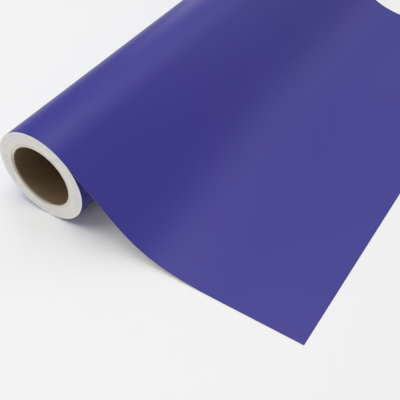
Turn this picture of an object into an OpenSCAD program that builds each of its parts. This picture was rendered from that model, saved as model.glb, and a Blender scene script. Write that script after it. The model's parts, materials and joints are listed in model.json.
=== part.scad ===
// A roll of self-adhesive sign vinyl, its loose end drawn off over the top and lying on a table.
// Millimetres. The origin is the middle of the core's bore, +Y runs along the bore, +Z is up,
// and the web pays off over the top of the roll towards +X.

/* [Core] */
// Diameter of the core's bore, which goes over a spindle
core_bore_d = 76.2; // [50:0.1:92]
// Thickness of the smooth kraft ply that lines the bore
inner_ply_t = 0.5; // [0.4:0.05:0.8]
// Thickness of one grey board ply
body_ply_t = 0.6; // [0.4:0.05:1]
// How many board plies make the wall
body_plies = 6; // [4:1:8]
// Thickness of the smooth outer ply
outer_ply_t = 0.4; // [0.2:0.05:0.6]
// How far the core stops short of the web at each end
core_recess = 0.3; // [0:0.1:6]

/* [Web] */
// Width of the web, along the roll
web_w = 610; // [300:1:1370]
// Thickness of the film with its adhesive coat
film_t = 0.105; // [0.08:0.005:0.2]
// Thickness of the silicone-coated release liner
liner_t = 0.14; // [0.08:0.005:0.25]
// Turns that are wound tight on the core
turns = 58; // [20:1:120]
// Room between the wound turns and the outermost turn, which slides round them
slip_gap = 0.1; // [0.05:0.01:0.3]
// Arc of the outermost turn, counted from where the web leaves the roll
outer_turn_arc = 350; // [330:1:352]

/* [Start tape] */
// Width of the tape that holds the web's first edge to the core, round the core
tape_w = 25; // [12:1:50]
// Thickness of the tape
tape_t = 0.1; // [0.05:0.01:0.2]
// Room left under and over the tape by the glue and the turns wound over it
tape_clear = 0.02; // [0.02:0.01:0.05]

/* [Loose web] */
// Angle from the top of the roll to the line where the web leaves it
leave_angle = 42; // [36:1:50]
// How strongly the web holds the roll's direction as it leaves
leave_reach = 97; // [60:1:130]
// How strongly the web holds the table's direction as it lands
land_reach = 112; // [70:1:150]
// Distance from the roll's axis to where the web lies flat
land_x = 225; // [200:1:320]
// Length of the flat run between the landing and the lead end
run_l = 35.7; // [20:0.1:200]
// Length of the lead end
lead_l = 60; // [50:1:300]
// Length of film at the cut edge that peels off the liner
peel_l = 40; // [10:1:45]
// Gap along the peel line
peel_gap = 0.05; // [0.02:0.01:0.2]

/* [Hidden] */
web_t = liner_t + film_t;
core_l = web_w - 2 * core_recess;
bore_r = core_bore_d / 2;
inner_ply_r = bore_r + inner_ply_t;
body_r = inner_ply_r + body_plies * body_ply_t;
core_r = body_r + outer_ply_t;
pack_r = core_r + turns * web_t;
turn_in_r = pack_r + slip_gap;
turn_mid_r = turn_in_r + liner_t;
roll_r = turn_in_r + web_t;
table_z = -roll_r;

// The web's fall is one cubic curve, from the roll's tangent to the table's.
leave_dir = [cos(leave_angle), -sin(leave_angle)];
leave_pt = turn_in_r * [sin(leave_angle), cos(leave_angle)];
land_pt = [land_x, table_z];
fall = [
    leave_pt,
    leave_pt + leave_reach * leave_dir,
    land_pt - [land_reach, 0],
    land_pt
];
fall_steps = 28;

run_x = land_x;
lead_x = run_x + run_l;
cut_x = lead_x + lead_l;
peel_x = cut_x - peel_l;

tape_arc = tape_w / core_r * 180 / PI;
tape_from = 180;
tape_steps = 12;
tape_in_r = core_r + tape_clear;

// Cut-off for bores, so that they pass right through
through = 1;

kraft = "#b08d62";
board = "#a08a70";
tape_colour = "#d9cfae";
liner_colour = "#e4ddd2";
film_colour = "#44418e";
wound_colour = "#d8d2cc";

ply_nodes = [for (i = [1 : body_plies]) str("core_board_ply_", i)];

// A point on the falling curve, and the direction away from the roll's side of the web there
function bezier(p, u) =
    pow(1 - u, 3) * p[0] + 3 * u * pow(1 - u, 2) * p[1] + 3 * u * u * (1 - u) * p[2] + pow(u, 3) * p[3];
function bezier_way(p, u) =
    pow(1 - u, 2) * (p[1] - p[0]) + 2 * u * (1 - u) * (p[2] - p[1]) + u * u * (p[3] - p[2]);
function outward(v) = [-v[1], v[0]] / norm(v);
function fall_pt(u, lift) = bezier(fall, u) + lift * outward(bezier_way(fall, u));

// A tube about the roll's axis
module tube(inner_r, outer_r, length) {
    rotate([90, 0, 0])
        difference() {
            cylinder(r = outer_r, h = length, center = true, $fn = 180);
            cylinder(r = inner_r, h = length + 2 * through, center = true, $fn = 180);
        }
}

// Part of such a tube, anticlockwise from an angle as seen from the near end
module tube_part(inner_r, outer_r, length, from, arc) {
    rotate([90, 0, 0])
        rotate([0, 0, from])
            rotate_extrude(angle = arc, $fn = 180)
                translate([inner_r, -length / 2])
                    square([outer_r - inner_r, length]);
}

// A layer of the falling web, between two heights above its lower face
module fall_layer(low, high) {
    lower = [for (i = [0 : fall_steps]) fall_pt(i / fall_steps, low)];
    upper = [for (i = [fall_steps : -1 : 0]) fall_pt(i / fall_steps, high)];
    rotate([90, 0, 0])
        linear_extrude(height = web_w, center = true)
            polygon(concat(lower, upper));
}

// A layer of the web that lies flat, from one distance to another
module flat_layer(from_x, to_x, low, high) {
    translate([from_x, -web_w / 2, table_z + low])
        cube([to_x - from_x, web_w, high - low]);
}

module core_inner_ply() {
    color(kraft)
        tube(bore_r, inner_ply_r, core_l);
}

module core_board_ply(i) {
    color(board)
        tube(inner_ply_r + (i - 1) * body_ply_t, inner_ply_r + i * body_ply_t, core_l);
}

module core_outer_ply() {
    color(kraft)
        tube(body_r, core_r, core_l);
}

// The tape is stiff enough to lie in narrow flats
module start_tape() {
    turn = [for (i = [0 : tape_steps]) tape_from + tape_arc * i / tape_steps];
    lower = [for (a = turn) tape_in_r * [cos(a), sin(a)]];
    upper = [for (i = [tape_steps : -1 : 0]) (tape_in_r + tape_t) * [cos(turn[i]), sin(turn[i])]];
    color(tape_colour)
        rotate([90, 0, 0])
            linear_extrude(height = core_l, center = true)
                polygon(concat(lower, upper));
}

module wound_web() {
    spare_arc = tape_clear / core_r * 180 / PI;
    color(wound_colour)
        difference() {
            tube(core_r, pack_r, web_w);
            tube_part(
                core_r - through,
                tape_in_r + tape_t + tape_clear,
                web_w + 2 * through,
                tape_from - spare_arc,
                tape_arc + 2 * spare_arc
            );
        }
}

module outer_turn_liner() {
    color(liner_colour)
        tube_part(turn_in_r, turn_mid_r, web_w, 90 - leave_angle, outer_turn_arc);
}

module outer_turn_film() {
    color(film_colour)
        tube_part(turn_mid_r, roll_r, web_w, 90 - leave_angle, outer_turn_arc);
}

module fall_liner() {
    color(liner_colour)
        fall_layer(0, liner_t);
}

module fall_film() {
    color(film_colour)
        fall_layer(liner_t, web_t);
}

module run_liner() {
    color(liner_colour)
        flat_layer(run_x, lead_x, 0, liner_t);
}

module run_film() {
    color(film_colour)
        flat_layer(run_x, lead_x, liner_t, web_t);
}

module lead_liner() {
    color(liner_colour)
        flat_layer(lead_x, cut_x, 0, liner_t);
}

module lead_film() {
    color(film_colour)
        flat_layer(lead_x, peel_x - peel_gap, liner_t, web_t);
}

module peel_film() {
    color(film_colour)
        flat_layer(peel_x, cut_x, liner_t, web_t);
}

core_inner_ply();
for (i = [1 : body_plies]) core_board_ply(i);
core_outer_ply();
start_tape();
wound_web();
outer_turn_liner();
outer_turn_film();
fall_liner();
fall_film();
run_liner();
run_film();
lead_liner();
lead_film();
peel_film();
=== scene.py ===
# %% [markdown]
# # A roll of sign vinyl
#
# Sign makers buy coloured vinyl as a long strip of soft film, stuck to a slippery paper liner
# and wound on a paper core. Here the loose end has been drawn off over the top of the roll and
# lies on the table. The strip is one thing, yet it is many layers deep on the roll, so the
# lesson is about sheets: how to give a sheet its real thickness, how to wind it, and how to
# light a satin surface so that its bends can be read.
#
# The main sizes come from the CAD frame. The falling web's curve repeats the few values that
# shape it there, and the rest is finer shape, such as the slant of the core's inner ply.

# %% Load the frame
import math

import bmesh
import bpy
from mathutils import Matrix, Vector
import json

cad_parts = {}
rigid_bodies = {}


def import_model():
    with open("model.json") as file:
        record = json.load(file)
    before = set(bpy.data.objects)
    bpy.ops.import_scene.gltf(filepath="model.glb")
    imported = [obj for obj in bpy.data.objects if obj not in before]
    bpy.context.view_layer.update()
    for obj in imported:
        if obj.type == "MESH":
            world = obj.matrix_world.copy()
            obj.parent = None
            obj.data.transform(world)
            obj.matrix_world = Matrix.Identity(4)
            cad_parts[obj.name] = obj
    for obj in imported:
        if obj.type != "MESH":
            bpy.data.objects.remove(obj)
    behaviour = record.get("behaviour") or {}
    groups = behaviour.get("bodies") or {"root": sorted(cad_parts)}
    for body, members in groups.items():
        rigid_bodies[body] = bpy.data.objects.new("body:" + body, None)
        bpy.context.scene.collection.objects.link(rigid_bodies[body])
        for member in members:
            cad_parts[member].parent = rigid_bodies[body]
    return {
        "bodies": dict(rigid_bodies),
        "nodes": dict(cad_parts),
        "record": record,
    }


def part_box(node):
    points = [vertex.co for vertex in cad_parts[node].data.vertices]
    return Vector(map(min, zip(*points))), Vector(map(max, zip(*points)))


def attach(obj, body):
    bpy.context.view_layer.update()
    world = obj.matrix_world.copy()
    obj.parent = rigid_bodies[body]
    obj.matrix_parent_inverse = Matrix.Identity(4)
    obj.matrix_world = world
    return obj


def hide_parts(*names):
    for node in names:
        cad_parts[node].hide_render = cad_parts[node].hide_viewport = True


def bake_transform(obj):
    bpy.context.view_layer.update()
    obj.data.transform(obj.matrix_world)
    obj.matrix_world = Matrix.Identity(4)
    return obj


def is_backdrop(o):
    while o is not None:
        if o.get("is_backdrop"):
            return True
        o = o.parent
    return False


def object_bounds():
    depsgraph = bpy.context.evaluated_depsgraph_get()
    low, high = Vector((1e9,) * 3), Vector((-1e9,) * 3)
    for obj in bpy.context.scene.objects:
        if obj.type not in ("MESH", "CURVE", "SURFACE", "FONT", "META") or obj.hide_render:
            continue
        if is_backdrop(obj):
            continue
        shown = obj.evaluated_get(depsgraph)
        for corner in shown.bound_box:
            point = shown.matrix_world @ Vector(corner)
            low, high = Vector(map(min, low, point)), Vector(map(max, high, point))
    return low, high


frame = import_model()
cad_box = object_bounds()
print("bodies:", sorted(frame["bodies"]))
print("CAD box, mm:", [round(1000 * (cad_box[1][i] - cad_box[0][i]), 1) for i in range(3)])

# %% [markdown]
# Every size is read from the boxes of the CAD nodes. A ring about the roll's axis, which lies
# along Y through the origin, has its outer radius as the top of its box.

# %% Sizes from the frame
MM = 0.001


def outer_radius(node):
    """A ring's outer radius, as the widest its box goes from the roll's axis."""
    low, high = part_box(node)
    return max(high.z, -low.z, -low.x)


PLIES = sorted(n for n in frame["nodes"] if n.startswith("core_board_ply_"))
bore_r = frame["record"]["mounts"][0]["dims"]["r_mm"] * MM
inner_ply_r = outer_radius("core_inner_ply")
core_r = outer_radius("core_outer_ply")
pack_r = outer_radius("wound_web")
turn_mid_r = outer_radius("outer_turn_liner")
roll_r = outer_radius("outer_turn_film")

half_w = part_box("fall_film")[1].y
half_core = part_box("core_outer_ply")[1].y
run_low, run_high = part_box("run_liner")
table_z = run_low.z
liner_t = run_high.z - run_low.z
film_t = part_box("run_film")[1].z - run_high.z
web_t = liner_t + film_t
turn_in_r = turn_mid_r - liner_t
run_x, lead_x = run_low.x, run_high.x
cut_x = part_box("lead_liner")[1].x
peel_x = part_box("peel_film")[0].x
turns = round((pack_r - core_r) / web_t)
print(f"roll {2000 * roll_r:.1f} mm across, {turns} turns of {1000 * web_t:.3f} mm web")

# %% [markdown]
# ## Camera
#
# The camera stands in front and to the right of the roll's near end and looks down on it at
# about 45 degrees, turned a little about its own axis. Its place is given as a point, and its
# turn as three angles, so the roll, the falling web and the cut edge line up as they should.

# %% Camera
CAMERA_AT = Vector((0.43955, -0.64471, 0.49225))
AZIMUTH, ELEVATION, TILT = 34.45, 45.27, -1.59
LENS = 60.567

azimuth, elevation, tilt = (math.radians(a) for a in (AZIMUTH, ELEVATION, TILT))
forward = Vector((
    -math.sin(azimuth) * math.cos(elevation),
    math.cos(azimuth) * math.cos(elevation),
    -math.sin(elevation),
))
level = Vector((math.cos(azimuth), math.sin(azimuth), 0))
upright = level.cross(forward)
right = level * math.cos(tilt) + upright * math.sin(tilt)
up = upright * math.cos(tilt) - level * math.sin(tilt)

camera = bpy.data.objects.new("camera", bpy.data.cameras.new("camera"))
camera.data.lens = LENS
camera.data.sensor_width = 36
camera.data.clip_start = 0.01
facing = Matrix((right, up, -forward)).transposed().to_4x4()
camera.matrix_world = Matrix.Translation(CAMERA_AT) @ facing
bpy.context.scene.collection.objects.link(camera)
bpy.context.scene.camera = camera
print("camera is", round(CAMERA_AT.length, 3), "m from the middle of the roll")

# %% [markdown]
# ## Node trees as Python
#
# Materials and Geometry Nodes are both node trees. `Graph` adds one node at a time: its type,
# its settings, and what goes in its sockets. `Flow` is a wire that leaves a node. Arithmetic on
# a wire adds a Math node, so `1 - mask` reads like the sum that it is.

# %% Node tree helpers
class Flow:
    """A wire that leaves a node. Arithmetic on it adds Math nodes to its tree."""

    def __init__(self, graph, node, output=0):
        self.graph, self.node = graph, node
        self.socket = node.outputs[output] if len(node.outputs) else None

    def __getitem__(self, output):
        return Flow(self.graph, self.node, output)

    def math(self, operation, *values):
        return self.graph.node("ShaderNodeMath", {"operation": operation}, dict(enumerate(values)))

    def __add__(self, other):
        return self.math("ADD", self, other)

    def __sub__(self, other):
        return self.math("SUBTRACT", self, other)

    def __rsub__(self, other):
        return self.math("SUBTRACT", other, self)

    def __mul__(self, other):
        return self.math("MULTIPLY", self, other)

    def __truediv__(self, other):
        return self.math("DIVIDE", self, other)

    __radd__ = __add__
    __rmul__ = __mul__


class Graph:
    """A node tree that is filled by calls."""

    def __init__(self, tree):
        self.tree = tree

    def plug(self, socket, value):
        if isinstance(value, Flow):
            self.tree.links.new(value.socket, socket)
        else:
            socket.default_value = value

    def node(self, kind, settings=None, sockets=None, output=0):
        made = self.tree.nodes.new(kind)
        for name, value in (settings or {}).items():
            setattr(made, name, value)
        for name, value in (sockets or {}).items():
            self.plug(made.inputs[name], value)
        return Flow(self, made, output)

    def noise(self, vector, scale, detail=2.0, roughness=0.5):
        settings = {"noise_dimensions": "3D"}
        sockets = {"Vector": vector, "Scale": scale, "Detail": detail, "Roughness": roughness}
        return self.node("ShaderNodeTexNoise", settings, sockets)

    def noise_along(self, place, detail):
        """Noise along one number, such as the turn of the winding that a point is on."""
        settings = {"noise_dimensions": "1D"}
        return self.node("ShaderNodeTexNoise", settings, {"W": place, "Scale": 1.0, "Detail": detail})

    def stretch(self, vector, scale):
        return self.node("ShaderNodeMapping", {}, {"Vector": vector, "Scale": scale})

    def place(self):
        """Where a point is on its own piece, in metres."""
        return self.node("ShaderNodeTexCoord", {}, {}, "Object")

    def apart(self, vector):
        return self.node("ShaderNodeSeparateXYZ", {}, {0: vector})

    def mix(self, factor, first, second):
        settings = {"data_type": "RGBA"}
        sockets = {0: factor, 6: first, 7: second}
        return self.node("ShaderNodeMix", settings, sockets, 2)

    def smooth(self, value, low, high, to_low=0.0, to_high=1.0):
        settings = {"interpolation_type": "SMOOTHSTEP"}
        sockets = {0: value, 1: low, 2: high, 3: to_low, 4: to_high}
        return self.node("ShaderNodeMapRange", settings, sockets)


# %% [markdown]
# Every material here is one Principled shader. What is the same all over a piece is set on its
# sockets, and what varies comes from a small function that is named for the finish.

# %% Material helpers
def rgb(red, green, blue):
    """A colour in linear light."""
    return (red, green, blue, 1.0)


def new_material(name, build, **fixed):
    """A material round one Principled shader. build(graph) gives what varies, as a dict of sockets."""
    material = bpy.data.materials.new(name)
    material.use_nodes = True
    material.node_tree.nodes.clear()
    graph = Graph(material.node_tree)
    sockets = {socket.replace("_", " "): value for socket, value in fixed.items()}
    sockets.update(build(graph))
    shader = graph.node("ShaderNodeBsdfPrincipled", {}, sockets)
    graph.node("ShaderNodeOutputMaterial", {}, {"Surface": shader})
    return material


def bumped(graph, height, distance):
    return graph.node("ShaderNodeBump", {}, {"Height": height, "Distance": distance, "Strength": 1.0})


# %% [markdown]
# ## Finishes
#
# The film is calendered PVC: rolled out between polished cylinders, so it is very even, with a
# satin skin, a fine orange peel and faint lines along the strip. Its patterns read a UV map that
# is measured in metres along and across the strip, so they stay put as it bends and winds. Its
# colour is painted darker in the last millimetre before a cut edge, a painted shade line along
# each edge. The back is the adhesive side, paler and a little shinier.

# %% Film finish
WEB_UV = "web_m"
# depths over which the film is painted darker towards a cut edge, a painted shade line
EDGE_SHADE = (0.0001, 0.0012)


def strip_uv(graph):
    return graph.node("ShaderNodeUVMap", {"uv_map": WEB_UV})


def film_face(graph):
    uv = strip_uv(graph)
    drift = graph.noise(graph.stretch(uv, (5, 2.5, 1)), 1.0, 3.0)
    streaks = graph.noise(graph.stretch(uv, (14, 900, 1)), 1.0, 2.0)
    peel = graph.noise(uv, 700.0, 2.0)
    grain = graph.noise(uv, 3800.0, 1.0)
    tone = drift * 0.7 + streaks * 0.3
    apart = graph.apart(uv)
    from_side = half_w - apart["Y"].math("ABSOLUTE", apart["Y"])
    to_cut = from_side.math("MINIMUM", from_side, apart["X"])
    # painted shade: the film darker in the last millimetre before a cut edge
    edge_shade = graph.smooth(to_cut, *EDGE_SHADE, 0.7, 0.0)
    skin = graph.mix(tone, rgb(0.037, 0.031, 0.278), rgb(0.042, 0.036, 0.305))
    return {
        "Base Color": graph.mix(edge_shade, skin, rgb(0.018, 0.014, 0.085)),
        "Roughness": 0.40 + (streaks - 0.5) * 0.05 + (grain - 0.5) * 0.05,
        "Normal": bumped(graph, peel * 0.6 + grain * 0.4, 0.000012),
    }


def film_back(graph):
    uv = strip_uv(graph)
    cloud = graph.noise(uv, 60.0, 4.0)
    grain = graph.noise(uv, 1500.0, 2.0)
    return {
        "Base Color": graph.mix(cloud, rgb(0.16, 0.15, 0.38), rgb(0.19, 0.18, 0.42)),
        "Roughness": 0.30 + (grain - 0.5) * 0.2,
        "Normal": bumped(graph, grain, 0.00001),
    }


vinyl_face = new_material("vinyl_face", film_face, IOR=1.5)
vinyl_back = new_material("vinyl_back", film_back, IOR=1.48)
print("film finishes:", vinyl_face.name, vinyl_back.name)

# %% [markdown]
# The liner is paper with a silicone skin. It is off-white, smooth and a little glossy on both
# sides, and fibres show as a very faint mottle. The edge is so thin that it has the same finish.

# %% Liner finish
def liner_paper(graph):
    uv = strip_uv(graph)
    mottle = graph.noise(uv, 180.0, 4.0, 0.6)
    fibres = graph.noise(graph.stretch(uv, (500, 2500, 1)), 1.0, 2.0)
    tone = mottle * 0.6 + fibres * 0.4
    return {
        "Base Color": graph.mix(tone, rgb(0.74, 0.70, 0.64), rgb(0.84, 0.81, 0.76)),
        "Roughness": 0.46 + (fibres - 0.5) * 0.12,
        "Normal": bumped(graph, fibres, 0.00002),
    }


liner_face = new_material("liner_face", liner_paper, IOR=1.45)
print("liner finish:", liner_face.name)

# %% [markdown]
# The roll's end is a slit face: the cut edges of every turn side by side. The liner's edge is
# paper, and the film's edge is pale too, because the knife bruises the PVC and drags a little
# silicone and paper dust over it. Each turn differs from the next, so the face has faint rings,
# and these finishes read a number that the winding leaves on its mesh: which turn a point is on.
# Handling leaves soft blots across the rings, and the last few turns are painted paler, a
# painted highlight along the roll's outer rim.

# %% Slit edge finishes
RING_SHARE = 0.45
# turns where the painted highlight along the roll's outer rim starts and where it is full
RIM_HIGHLIGHT_FROM, RIM_HIGHLIGHT_BY = 6.0, 3.0


def slit_edge(pale, deep):
    def build(graph):
        turn = graph.node("ShaderNodeAttribute", {"attribute_name": "turn"}, {}, "Fac")
        place = graph.place()
        each = graph.noise_along(turn * 1.7, 3.0)
        broad = graph.noise_along(turn * 0.13, 1.0)
        dust = graph.noise(place, 900.0, 3.0)
        blots = graph.noise(graph.stretch(place, (1, 0.05, 1)), 95.0, 3.0, 0.6)
        tone = each * RING_SHARE + broad * (0.7 - RING_SHARE) + dust * 0.3
        paper = graph.mix(graph.smooth(tone, 0.3, 0.7), deep, pale)
        paper = graph.mix(graph.smooth(blots, 0.50, 0.68, 0.0, 0.55), paper, rgb(0.70, 0.68, 0.76))
        # painted highlight: the last few turns paler along the outer rim
        rim_highlight = graph.smooth(turn, turns - RIM_HIGHLIGHT_FROM, turns - RIM_HIGHLIGHT_BY, 0.0, 0.75)
        return {
            "Base Color": graph.mix(rim_highlight, paper, rgb(0.96, 0.94, 1.0)),
            "Roughness": 0.72 + (dust - 0.5) * 0.2,
            "Normal": bumped(graph, dust, 0.00004),
        }
    return build


liner_cut = slit_edge(pale=rgb(0.91, 0.885, 0.81), deep=rgb(0.76, 0.74, 0.69))
film_cut = slit_edge(pale=rgb(0.87, 0.85, 0.80), deep=rgb(0.66, 0.64, 0.68))
liner_slit = new_material("liner_slit", liner_cut)
film_slit = new_material("film_slit", film_cut)
print("slit finishes:", liner_slit.name, film_slit.name)

# %% [markdown]
# The core is wound from strips of paper at a slant, glued one over another. The ply that lines
# the bore is smooth brown kraft, whose fibres run along its strip, so its pattern is turned to
# the strip's slant by using the strip's own UV map. It is painted paler in the last millimetres
# of the bore, a painted light where light from outside reaches the mouth. The board plies are
# pale recycled paper, seen only at the end, where a glue line darkens the joint between two
# plies. One side of that end is painted darker, a painted shade, and the thin bare face left
# under the inner ply's seam is painted nearly black, a painted shade in the seam's gap.

# %% Core finishes
board_t = outer_radius(PLIES[0]) - inner_ply_r
# direction of the side of the core's end that is painted darker as shade
SHADED_SIDE_AT = math.radians(215)
# depths from the core's end over which the bore is painted paler, a painted light at the mouth
MOUTH_LIGHT_FROM, MOUTH_LIGHT_BY = 0.0030, 0.0004


def kraft_paper(graph):
    uv = strip_uv(graph)
    fibres = graph.noise(graph.stretch(uv, (160, 1400, 1)), 1.0, 4.0, 0.6)
    flecks = graph.noise(uv, 420.0, 3.0, 0.7)
    cloud = graph.noise(uv, 26.0, 3.0)
    tone = fibres * 0.5 + flecks * 0.2 + cloud * 0.3
    paper = graph.mix(graph.smooth(tone, 0.3, 0.7), rgb(0.145, 0.092, 0.046), rgb(0.245, 0.167, 0.088))
    length = graph.apart(graph.place())["Y"]
    to_middle = length.math("ABSOLUTE", length)
    # painted light: the bore paler near its mouth, where light from outside reaches
    mouth_light = graph.smooth(to_middle, half_core - MOUTH_LIGHT_FROM, half_core - MOUTH_LIGHT_BY)
    return {
        "Base Color": graph.mix(mouth_light * (0.35 + flecks * 0.5), paper, rgb(0.42, 0.365, 0.29)),
        "Roughness": 0.62 + (fibres - 0.5) * 0.25,
        "Normal": bumped(graph, fibres * 0.7 + flecks * 0.3, 0.00005),
    }


def board_end(graph):
    place = graph.place()
    apart = graph.apart(place)
    squares = apart["X"] * apart["X"] + apart["Z"] * apart["Z"]
    radius = squares.math("SQRT", squares)
    plies = (radius - inner_ply_r) / board_t
    across = plies.math("FRACT", plies)
    glue = graph.smooth(across, 0.0, 0.12, 1.0, 0.0)
    fibres = graph.noise(place, 1100.0, 4.0, 0.65)
    blots = graph.noise(place, 160.0, 3.0)
    tone = graph.smooth(fibres * 0.6 + blots * 0.4, 0.32, 0.68)
    paper = graph.mix(tone, rgb(0.66, 0.625, 0.545), rgb(0.79, 0.76, 0.68))
    paper = graph.mix(glue * 0.35, paper, rgb(0.40, 0.35, 0.27))
    # painted shade: one side of the core's end darker
    toward_shaded_side = (apart["X"] * math.cos(SHADED_SIDE_AT) + apart["Z"] * math.sin(SHADED_SIDE_AT)) / radius
    painted_shade_side = graph.smooth(toward_shaded_side + (blots - 0.5) * 0.3, 0.35, 0.8)
    paper = graph.mix(painted_shade_side * 0.75, paper, rgb(0.36, 0.32, 0.265))
    # painted shade: the bare face under the inner ply's seam nearly black
    seam_shade = graph.smooth(radius, inner_ply_r + 0.00002, inner_ply_r + 0.00008, 1.0, 0.0)
    return {
        "Base Color": graph.mix(seam_shade, paper, rgb(0.035, 0.022, 0.012)),
        "Roughness": 0.85 + (fibres - 0.5) * 0.15,
        "Normal": bumped(graph, fibres, 0.00012),
    }


def crepe_tape(graph):
    ridges = graph.noise(graph.stretch(graph.place(), (900, 90, 900)), 1.0, 2.0)
    return {
        "Base Color": graph.mix(ridges, rgb(0.60, 0.50, 0.30), rgb(0.74, 0.65, 0.44)),
        "Roughness": 0.6 + (ridges - 0.5) * 0.2,
        "Normal": bumped(graph, ridges, 0.00006),
    }


kraft = new_material("kraft", kraft_paper)
board = new_material("board", board_end)
masking_tape = new_material("masking_tape", crepe_tape)


def dress(node, material):
    """Gives a CAD node, whose shape is right as it is, a finished material."""
    for slot in frame["nodes"][node].material_slots:
        slot.material = material


for node in [*PLIES, "core_outer_ply"]:
    dress(node, board)
dress("start_tape", masking_tape)
print("CAD nodes with their own shape:", len(PLIES) + 2)

# %% [markdown]
# ## The winding
#
# On the roll each strip is a flat spiral, as wide as the roll is long. It is a shape with a
# rule, so Geometry Nodes make it: a Spiral curve gives the path, and Curve to Mesh sweeps a
# rectangle along it, the strip's thickness by its width. One tree serves the film and the
# liner, whose spirals lie one inside the other, and the core's inner ply is the same idea with
# a rise. Hand winding is never quite square, so each turn stands a hair in or out of the next.

# %% Winding tree
def store(graph, shape, name, value, kind="FLOAT", domain="POINT"):
    settings = {"data_type": kind, "domain": domain}
    sockets = {"Geometry": shape, "Name": name, "Value": value}
    return graph.node("GeometryNodeStoreNamedAttribute", settings, sockets)


def recall(graph, name):
    return graph.node("GeometryNodeInputNamedAttribute", {"data_type": "FLOAT"}, {"Name": name})


def strip_tree():
    """Geometry Nodes that sweep a strip along a spiral, with each size as a named input."""
    tree = bpy.data.node_groups.new("wound_strip", "GeometryNodeTree")
    floats = [
        "Start Radius", "End Radius", "Rise per Turn", "Turns",
        "Thickness", "Width", "Start Angle", "Wander",
    ]
    for name in floats:
        tree.interface.new_socket(name, in_out="INPUT", socket_type="NodeSocketFloat")
    for name in ["Points per Turn", "Seed"]:
        tree.interface.new_socket(name, in_out="INPUT", socket_type="NodeSocketInt")
    tree.interface.new_socket("Finish", in_out="INPUT", socket_type="NodeSocketMaterial")
    tree.interface.new_socket("Geometry", in_out="OUTPUT", socket_type="NodeSocketGeometry")
    graph = Graph(tree)
    given = graph.node("NodeGroupInput")
    path = graph.node("GeometryNodeCurveSpiral", {}, {
        "Resolution": given["Points per Turn"], "Rotations": given["Turns"],
        "Start Radius": given["Start Radius"], "End Radius": given["End Radius"],
        "Height": 0.0, "Reverse": False,
    })
    place = graph.node("GeometryNodeSplineParameter")
    path = store(graph, path, "turn", place["Factor"] * given["Turns"])
    path = store(graph, path, "along", place["Length"])
    path = graph.node("GeometryNodeSetCurveNormal", {"mode": "Z_UP"}, {"Curve": path})
    profile = graph.node("GeometryNodeCurvePrimitiveQuadrilateral", {}, {
        "Width": given["Thickness"], "Height": given["Width"],
    })
    point = graph.apart(graph.node("GeometryNodeInputPosition"))
    profile = store(graph, profile, "across", point["Y"])
    strip = graph.node("GeometryNodeCurveToMesh", {}, {
        "Curve": path, "Profile Curve": profile, "Fill Caps": True,
    })
    stored, along, across = (recall(graph, name) for name in ("turn", "along", "across"))
    flat_place = graph.node("ShaderNodeCombineXYZ", {}, {"X": along, "Y": across})
    strip = store(graph, strip, WEB_UV, flat_place, "FLOAT2", "CORNER")
    fine = graph.noise_along(stored * 0.9 + given["Seed"], 2.0)
    broad = graph.noise_along(stored * 0.11 + given["Seed"] + 50.0, 1.0)
    sway = (fine * 0.5 + broad - 0.75) * given["Wander"]
    climb = (stored - given["Turns"] * 0.5) * given["Rise per Turn"]
    offset = graph.node("ShaderNodeCombineXYZ", {}, {"Z": sway + climb})
    strip = graph.node("GeometryNodeSetPosition", {}, {"Geometry": strip, "Offset": offset})
    spin = graph.node("ShaderNodeCombineXYZ", {}, {"Z": given["Start Angle"]})
    strip = graph.node("GeometryNodeTransform", {}, {"Geometry": strip, "Rotation": spin})
    lay = graph.node("FunctionNodeInputVector", {"vector": (math.radians(90), 0, 0)})
    strip = graph.node("GeometryNodeTransform", {}, {"Geometry": strip, "Rotation": lay})
    strip = graph.node("GeometryNodeRealizeInstances", {}, {"Geometry": strip})
    strip = graph.node("GeometryNodeSetMaterial", {}, {"Geometry": strip, "Material": given["Finish"]})
    graph.node("NodeGroupOutput", {}, {"Geometry": strip})
    return tree


STRIP_TREE = strip_tree()
print("winding tree:", len(STRIP_TREE.nodes), "nodes")

# %% [markdown]
# A modifier runs the tree, and the result is copied into a plain mesh, because a piece that
# moves and is handed on should not hang on a live modifier. Each input is set by its socket's
# identifier, which stays the same when a label is changed.

# %% From tree to mesh
def link_mesh(name, mesh):
    made = bpy.data.objects.new(name, mesh)
    bpy.context.scene.collection.objects.link(made)
    return made


def wound(name, **sizes):
    """A plain mesh of one strip, swept by the tree with these inputs."""
    holder = link_mesh(name + "_path", bpy.data.meshes.new(name))
    modifier = holder.modifiers.new("wound_strip", "NODES")
    modifier.node_group = STRIP_TREE
    sockets = {s.name: s.identifier for s in STRIP_TREE.interface.items_tree if s.in_out == "INPUT"}
    for label, value in sizes.items():
        modifier[sockets[label.replace("_", " ")]] = value
    graph = bpy.context.evaluated_depsgraph_get()
    mesh = bpy.data.meshes.new_from_object(holder.evaluated_get(graph), depsgraph=graph)
    bpy.data.objects.remove(holder)
    made = link_mesh(name, mesh)
    sharpen(made)
    return made


def sharpen(piece, angle=30):
    """Smooth faces with crisp cut edges."""
    piece.data.polygons.foreach_set("use_smooth", [True] * len(piece.data.polygons))
    piece.data.set_sharp_from_angle(angle=math.radians(angle))


# %% [markdown]
# The liner lies inside and the film outside, one web thickness per turn. The spiral starts on
# the core and runs outwards clockwise, seen from the near end, because the web pays off over
# the top. The film's edge stands three hundredths of a millimetre back from the liner's. Each
# layer is made a thousandth thinner than it is, so that two that touch don't share a face.

# %% Wound film and liner
LEAVE_ANGLE = math.radians(42)
start_angle = math.pi / 2 - LEAVE_ANGLE
POINTS_PER_TURN = 128
WANDER = 0.00035
FILM_SET_BACK = 0.00003
LAYER_FIT = 0.999
WANDER_SEED = 4

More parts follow.
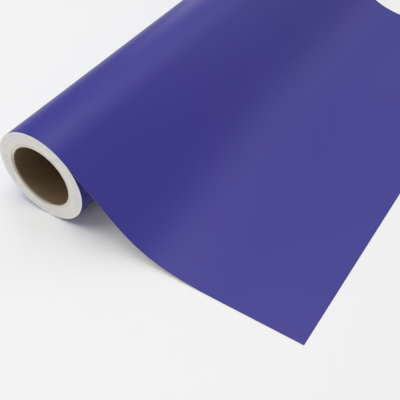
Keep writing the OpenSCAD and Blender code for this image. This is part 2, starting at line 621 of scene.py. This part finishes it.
WOUND = [
    ("wound_liner", liner_t / 2, liner_t, 0, liner_slit),
    ("wound_film", liner_t + film_t / 2, film_t, FILM_SET_BACK, film_slit),
]
for name, middle, thickness, set_back, finish in WOUND:
    strip = wound(
        name,
        Start_Radius=core_r + middle,
        End_Radius=core_r + middle + (turns - 1) * web_t,
        Rise_per_Turn=0.0,
        Turns=float(turns - 1),
        Thickness=thickness * LAYER_FIT,
        Width=2 * (half_w - set_back) - WANDER,
        Start_Angle=start_angle,
        Wander=WANDER,
        Points_per_Turn=POINTS_PER_TURN,
        Seed=WANDER_SEED,
        Finish=finish,
    )
    high = Vector(strip.bound_box[6])
    print(name, len(strip.data.polygons), "faces, radius mm", round(1000 * high.z, 2))
    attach(strip, "roll")
    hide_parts("wound_web")

# %% [markdown]
# The inner ply is swept longer than the core and then cut square at both ends, as the real core
# is. Its two edges nearly meet, and the narrow seam between them winds down the bore.

# %% Inner ply
def trim_ends(piece, half_length):
    """Cuts a closed mesh square at both ends, across Y, and closes the cuts."""
    shape = bmesh.new()
    shape.from_mesh(piece.data)
    for side in (-1, 1):
        bmesh.ops.bisect_plane(
            shape,
            geom=[*shape.verts, *shape.edges, *shape.faces],
            plane_co=(0, side * half_length, 0),
            plane_no=(0, side, 0),
            clear_outer=True,
        )
        cut = [e for e in shape.edges if e.is_boundary]
        bmesh.ops.holes_fill(shape, edges=cut, sides=0)
    open_edges = sum(e.is_boundary for e in shape.edges)
    print(piece.name, len(shape.faces), "faces,", open_edges, "open edges")
    shape.to_mesh(piece.data)
    shape.free()
    sharpen(piece)


PLY_LEAD = 0.146
PLY_SEAM = 0.0012
PLY_FIT = 0.98
PLY_POINTS = 120
SEAM_AT_MOUTH = math.radians(278)
ply_t = inner_ply_r - bore_r
ply_turns = math.ceil(2 * half_core / PLY_LEAD) + 2
turns_to_mouth = half_core / PLY_LEAD + ply_turns / 2 - 0.5
ply = wound(
    "core_inner_lining",
    Start_Radius=bore_r + ply_t / 2,
    End_Radius=bore_r + ply_t / 2,
    Rise_per_Turn=PLY_LEAD,
    Turns=float(ply_turns),
    Thickness=ply_t * PLY_FIT,
    Width=PLY_LEAD - PLY_SEAM,
    Start_Angle=SEAM_AT_MOUTH + 2 * math.pi * turns_to_mouth,
    Wander=0.0,
    Points_per_Turn=PLY_POINTS,
    Seed=1,
    Finish=kraft,
)
trim_ends(ply, half_core)
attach(ply, "roll")
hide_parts("core_inner_ply")

# %% [markdown]
# ## The loose web
#
# From the cut edge the web lies flat, rises in one easy curve and meets the roll at a tangent,
# then goes once round it. A sheet that bends one way only keeps straight lines across it, so it
# is enough to know its path from the side.

# %% Path of the web
LEAVE_REACH = 0.097
LAND_REACH = 0.112
FALL_STEPS = 96
RING_ARC = math.radians(350)
RING_STEPS = 200


def bezier(p, u):
    v = 1 - u
    return v ** 3 * p[0] + 3 * u * v * v * p[1] + 3 * u * u * v * p[2] + u ** 3 * p[3]


def side_path(inner_r):
    """Points (x, z) of the web's lower face, from the landing to the end of the outer turn."""
    leave = Vector((math.sin(LEAVE_ANGLE), math.cos(LEAVE_ANGLE))) * inner_r
    way = Vector((math.cos(LEAVE_ANGLE), -math.sin(LEAVE_ANGLE)))
    land = Vector((run_x, table_z))
    fall = [land, land - Vector((LAND_REACH, 0)), leave + way * LEAVE_REACH, leave]
    curve = [bezier(fall, i / FALL_STEPS) for i in range(FALL_STEPS)]
    ring = [start_angle + RING_ARC * i / RING_STEPS for i in range(RING_STEPS + 1)]
    return curve + [Vector((math.cos(a), math.sin(a))) * inner_r for a in ring]


def flat_path(from_x, to_x, steps):
    """Points of the lower face where the web lies flat, from the far x to the near one."""
    return [Vector((from_x + (to_x - from_x) * i / steps, table_z)) for i in range(steps + 1)]


# %% [markdown]
# A sheet that is only a surface looks like card with no edge. So each strip is a closed thin
# solid: an upper and a lower face along the path, joined by the cut edges.

# %% Strip mesh
def strip_mesh(name, path, low, high, half, across, faces, start=0.0):
    """A closed strip with real thickness along a path in the XZ plane, straight across in Y.
    faces gives the materials of its upper face, its lower face and its cut edges. Its UV map
    counts the length from start, so that two strips in a row share one pattern."""
    last = len(path) - 1
    ways = [(path[min(i + 1, last)] - path[max(i - 1, 0)]).normalized() for i in range(last + 1)]
    lifts = [Vector((w.y, -w.x)) for w in ways]
    along = [start]
    for a, b in zip(path, path[1:]):
        along.append(along[-1] + (b - a).length)
    shape = bmesh.new()
    uv_layer = shape.loops.layers.uv.new(WEB_UV)
    rows = {}
    for side, height in (("low", low), ("high", high)):
        for i, (point, lift) in enumerate(zip(path, lifts)):
            place = point + lift * height
            for j in range(across + 1):
                y = half * (2 * j / across - 1)
                rows[side, i, j] = shape.verts.new((place.x, y, place.y))

    def face(corners, slot):
        made = shape.faces.new([rows[c] for c in corners])
        made.material_index = slot
        for loop, (side, i, j) in zip(made.loops, corners):
            loop[uv_layer].uv = (along[i], half * (2 * j / across - 1))

    for i in range(last):
        for j in range(across):
            face([("high", i, j), ("high", i + 1, j), ("high", i + 1, j + 1), ("high", i, j + 1)], 0)
            face([("low", i, j + 1), ("low", i + 1, j + 1), ("low", i + 1, j), ("low", i, j)], 1)
        face([("low", i, 0), ("low", i + 1, 0), ("high", i + 1, 0), ("high", i, 0)], 2)
        face([("high", i, across), ("high", i + 1, across), ("low", i + 1, across), ("low", i, across)], 2)
    for j in range(across):
        face([("low", 0, j + 1), ("low", 0, j), ("high", 0, j), ("high", 0, j + 1)], 2)
        face([("low", last, j), ("low", last, j + 1), ("high", last, j + 1), ("high", last, j)], 2)
    bmesh.ops.recalc_face_normals(shape, faces=shape.faces)
    mesh = bpy.data.meshes.new(name)
    shape.to_mesh(mesh)
    shape.free()
    for material in faces:
        mesh.materials.append(material)
    piece = link_mesh(name, mesh)
    sharpen(piece)
    print(name, len(mesh.polygons), "faces,", round(along[-1] - start, 4), "m long")
    return piece, along[-1] - start


# %% [markdown]
# Film and liner follow the same path, one on the other. Both are cut in two at the lead end,
# the flat last stretch that is held and drawn, because there the film can be peeled back.

# %% Film and liner off the roll
ACROSS = 24
RUN_STEPS = 16
LEAD_STEPS = 60
FILM = (vinyl_face, vinyl_back, vinyl_face)
LINER = (liner_face, liner_face, liner_face)
web_path = flat_path(lead_x, run_x, RUN_STEPS)[:-1] + side_path(turn_in_r)
lead_path = flat_path(cut_x, lead_x, LEAD_STEPS)

lead_l = cut_x - lead_x
layers = [("film", liner_t, web_t, FILM), ("liner", 0.0, liner_t, LINER)]
strips = {}
for layer, low, high, faces in layers:
    strips[layer + "_web"] = strip_mesh(layer + "_web", web_path, low, high, half_w, ACROSS, faces, lead_l)
    strips[layer + "_lead"] = strip_mesh(layer + "_lead", lead_path, low, high, half_w, ACROSS, faces)
film_web, film_web_l = strips["film_web"]
liner_web, liner_web_l = strips["liner_web"]
film_lead, film_lead_l = strips["film_lead"]
liner_lead, liner_lead_l = strips["liner_lead"]

# %% [markdown]
# Drawing web off moves the lead end and not the fall. The liner's lead strip goes on the lead
# end's body, and the other strips are fixed where they lie. The CAD's web pieces, the film's
# peeled edge among them, are hidden.

# %% How the web moves
for piece, slot, nodes in [
    (film_web, "vinyl_film", ["outer_turn_film", "fall_film", "run_film"]),
    (liner_web, "release_liner", ["outer_turn_liner", "fall_liner", "run_liner"]),
]:
    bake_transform(piece)
    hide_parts(*nodes)
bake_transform(film_lead)
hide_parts("lead_film", "peel_film")
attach(liner_lead, "lead_end")
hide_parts("lead_liner")

print("sheets:", [piece.name for piece in (film_web, liner_web, film_lead, liner_lead)])

# %% [markdown]
# ## Table and light
#
# The table is plain, pale and large. The backdrop is bright where the camera looks straight at
# it and dim as a light, so that it doesn't fill the shadows or wash out the film.

# %% Table and backdrop
def table_top(graph):
    grain = graph.noise(graph.place(), 40.0, 3.0)
    return {"Base Color": graph.mix(grain, rgb(0.955, 0.955, 0.955), rgb(0.97, 0.97, 0.97))}


floor = link_mesh("floor", bpy.data.meshes.new("floor"))
FLOOR_HALF = 14.0
FLOOR_DROP = 0.0002
floor_z = table_z - FLOOR_DROP
signs = [(-1, -1), (1, -1), (1, 1), (-1, 1)]
corners = [(x * FLOOR_HALF, y * FLOOR_HALF, floor_z) for x, y in signs]
floor.data.from_pydata(corners, [], [(0, 1, 2, 3)])
floor.data.materials.append(new_material("table_top", table_top, Roughness=0.8))
floor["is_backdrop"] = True

world = bpy.data.worlds.new("studio")
world.use_nodes = True
world.node_tree.nodes.clear()
sky = Graph(world.node_tree)
AS_LIGHT = 0.3
seen = sky.node("ShaderNodeLightPath", {}, {}, "Is Camera Ray")
strength = AS_LIGHT + seen * (1 - AS_LIGHT)
wall = sky.node("ShaderNodeBackground", {}, {"Color": rgb(0.92, 0.92, 0.93), "Strength": strength})
sky.node("ShaderNodeOutputWorld", {}, {"Surface": wall})
bpy.context.scene.world = world
print("floor at z mm", round(1000 * floor_z, 2))

# %% [markdown]
# A satin film is dark where it mirrors nothing and bright where it mirrors a lamp, so the lamps
# are large and placed for what they do in it.

# %% Lamps
LAMP_DISTANCE = 2.3
LAMP_AIM = Vector((0.1, 0, 0))


def softbox(name, azimuth, elevation, size, power):
    """A soft lamp that faces the roll. Azimuth is counted as the camera's is."""
    a, e = math.radians(azimuth), math.radians(elevation)
    back = Vector((math.sin(a) * math.cos(e), -math.cos(a) * math.cos(e), math.sin(e)))
    lamp = bpy.data.lights.new(name, "AREA")
    lamp.shape = "RECTANGLE"
    lamp.size, lamp.size_y = size
    lamp.energy = power
    holder = bpy.data.objects.new(name, lamp)
    holder.location = LAMP_AIM + back * LAMP_DISTANCE
    holder.rotation_mode = "QUATERNION"
    holder.rotation_quaternion = (-back).to_track_quat("-Z", "Y")
    bpy.context.scene.collection.objects.link(holder)


TALL, LOW = (1.3, 1.3), (1.3, 0.9)
LAMPS = [
    ("key", -40, 62, TALL, 16), ("overhead", 0, 88, TALL, 14), ("front", 0, 14, LOW, 8),
    ("right_low", 100, 14, LOW, 3), ("left_low", -150, 14, LOW, 6), ("left_high", -110, 62, TALL, 2),
    ("back", 160, 38, TALL, 3.5), ("back_high", -170, 62, TALL, 3.5),
]
for name, lamp_azimuth, lamp_elevation, size, power in LAMPS:
    softbox(name, lamp_azimuth, lamp_elevation, size, power)
print("lamps:", len(LAMPS))

view = bpy.context.scene.view_settings
view.view_transform = "Standard"
view.look = "None"

# %% Hand over
import json
seen_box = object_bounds()
for label, (low, high) in (("CAD", cad_box), ("visual", seen_box)):
    print(label, "box mm", [round(1000 * v, 2) for v in low], [round(1000 * v, 2) for v in high])
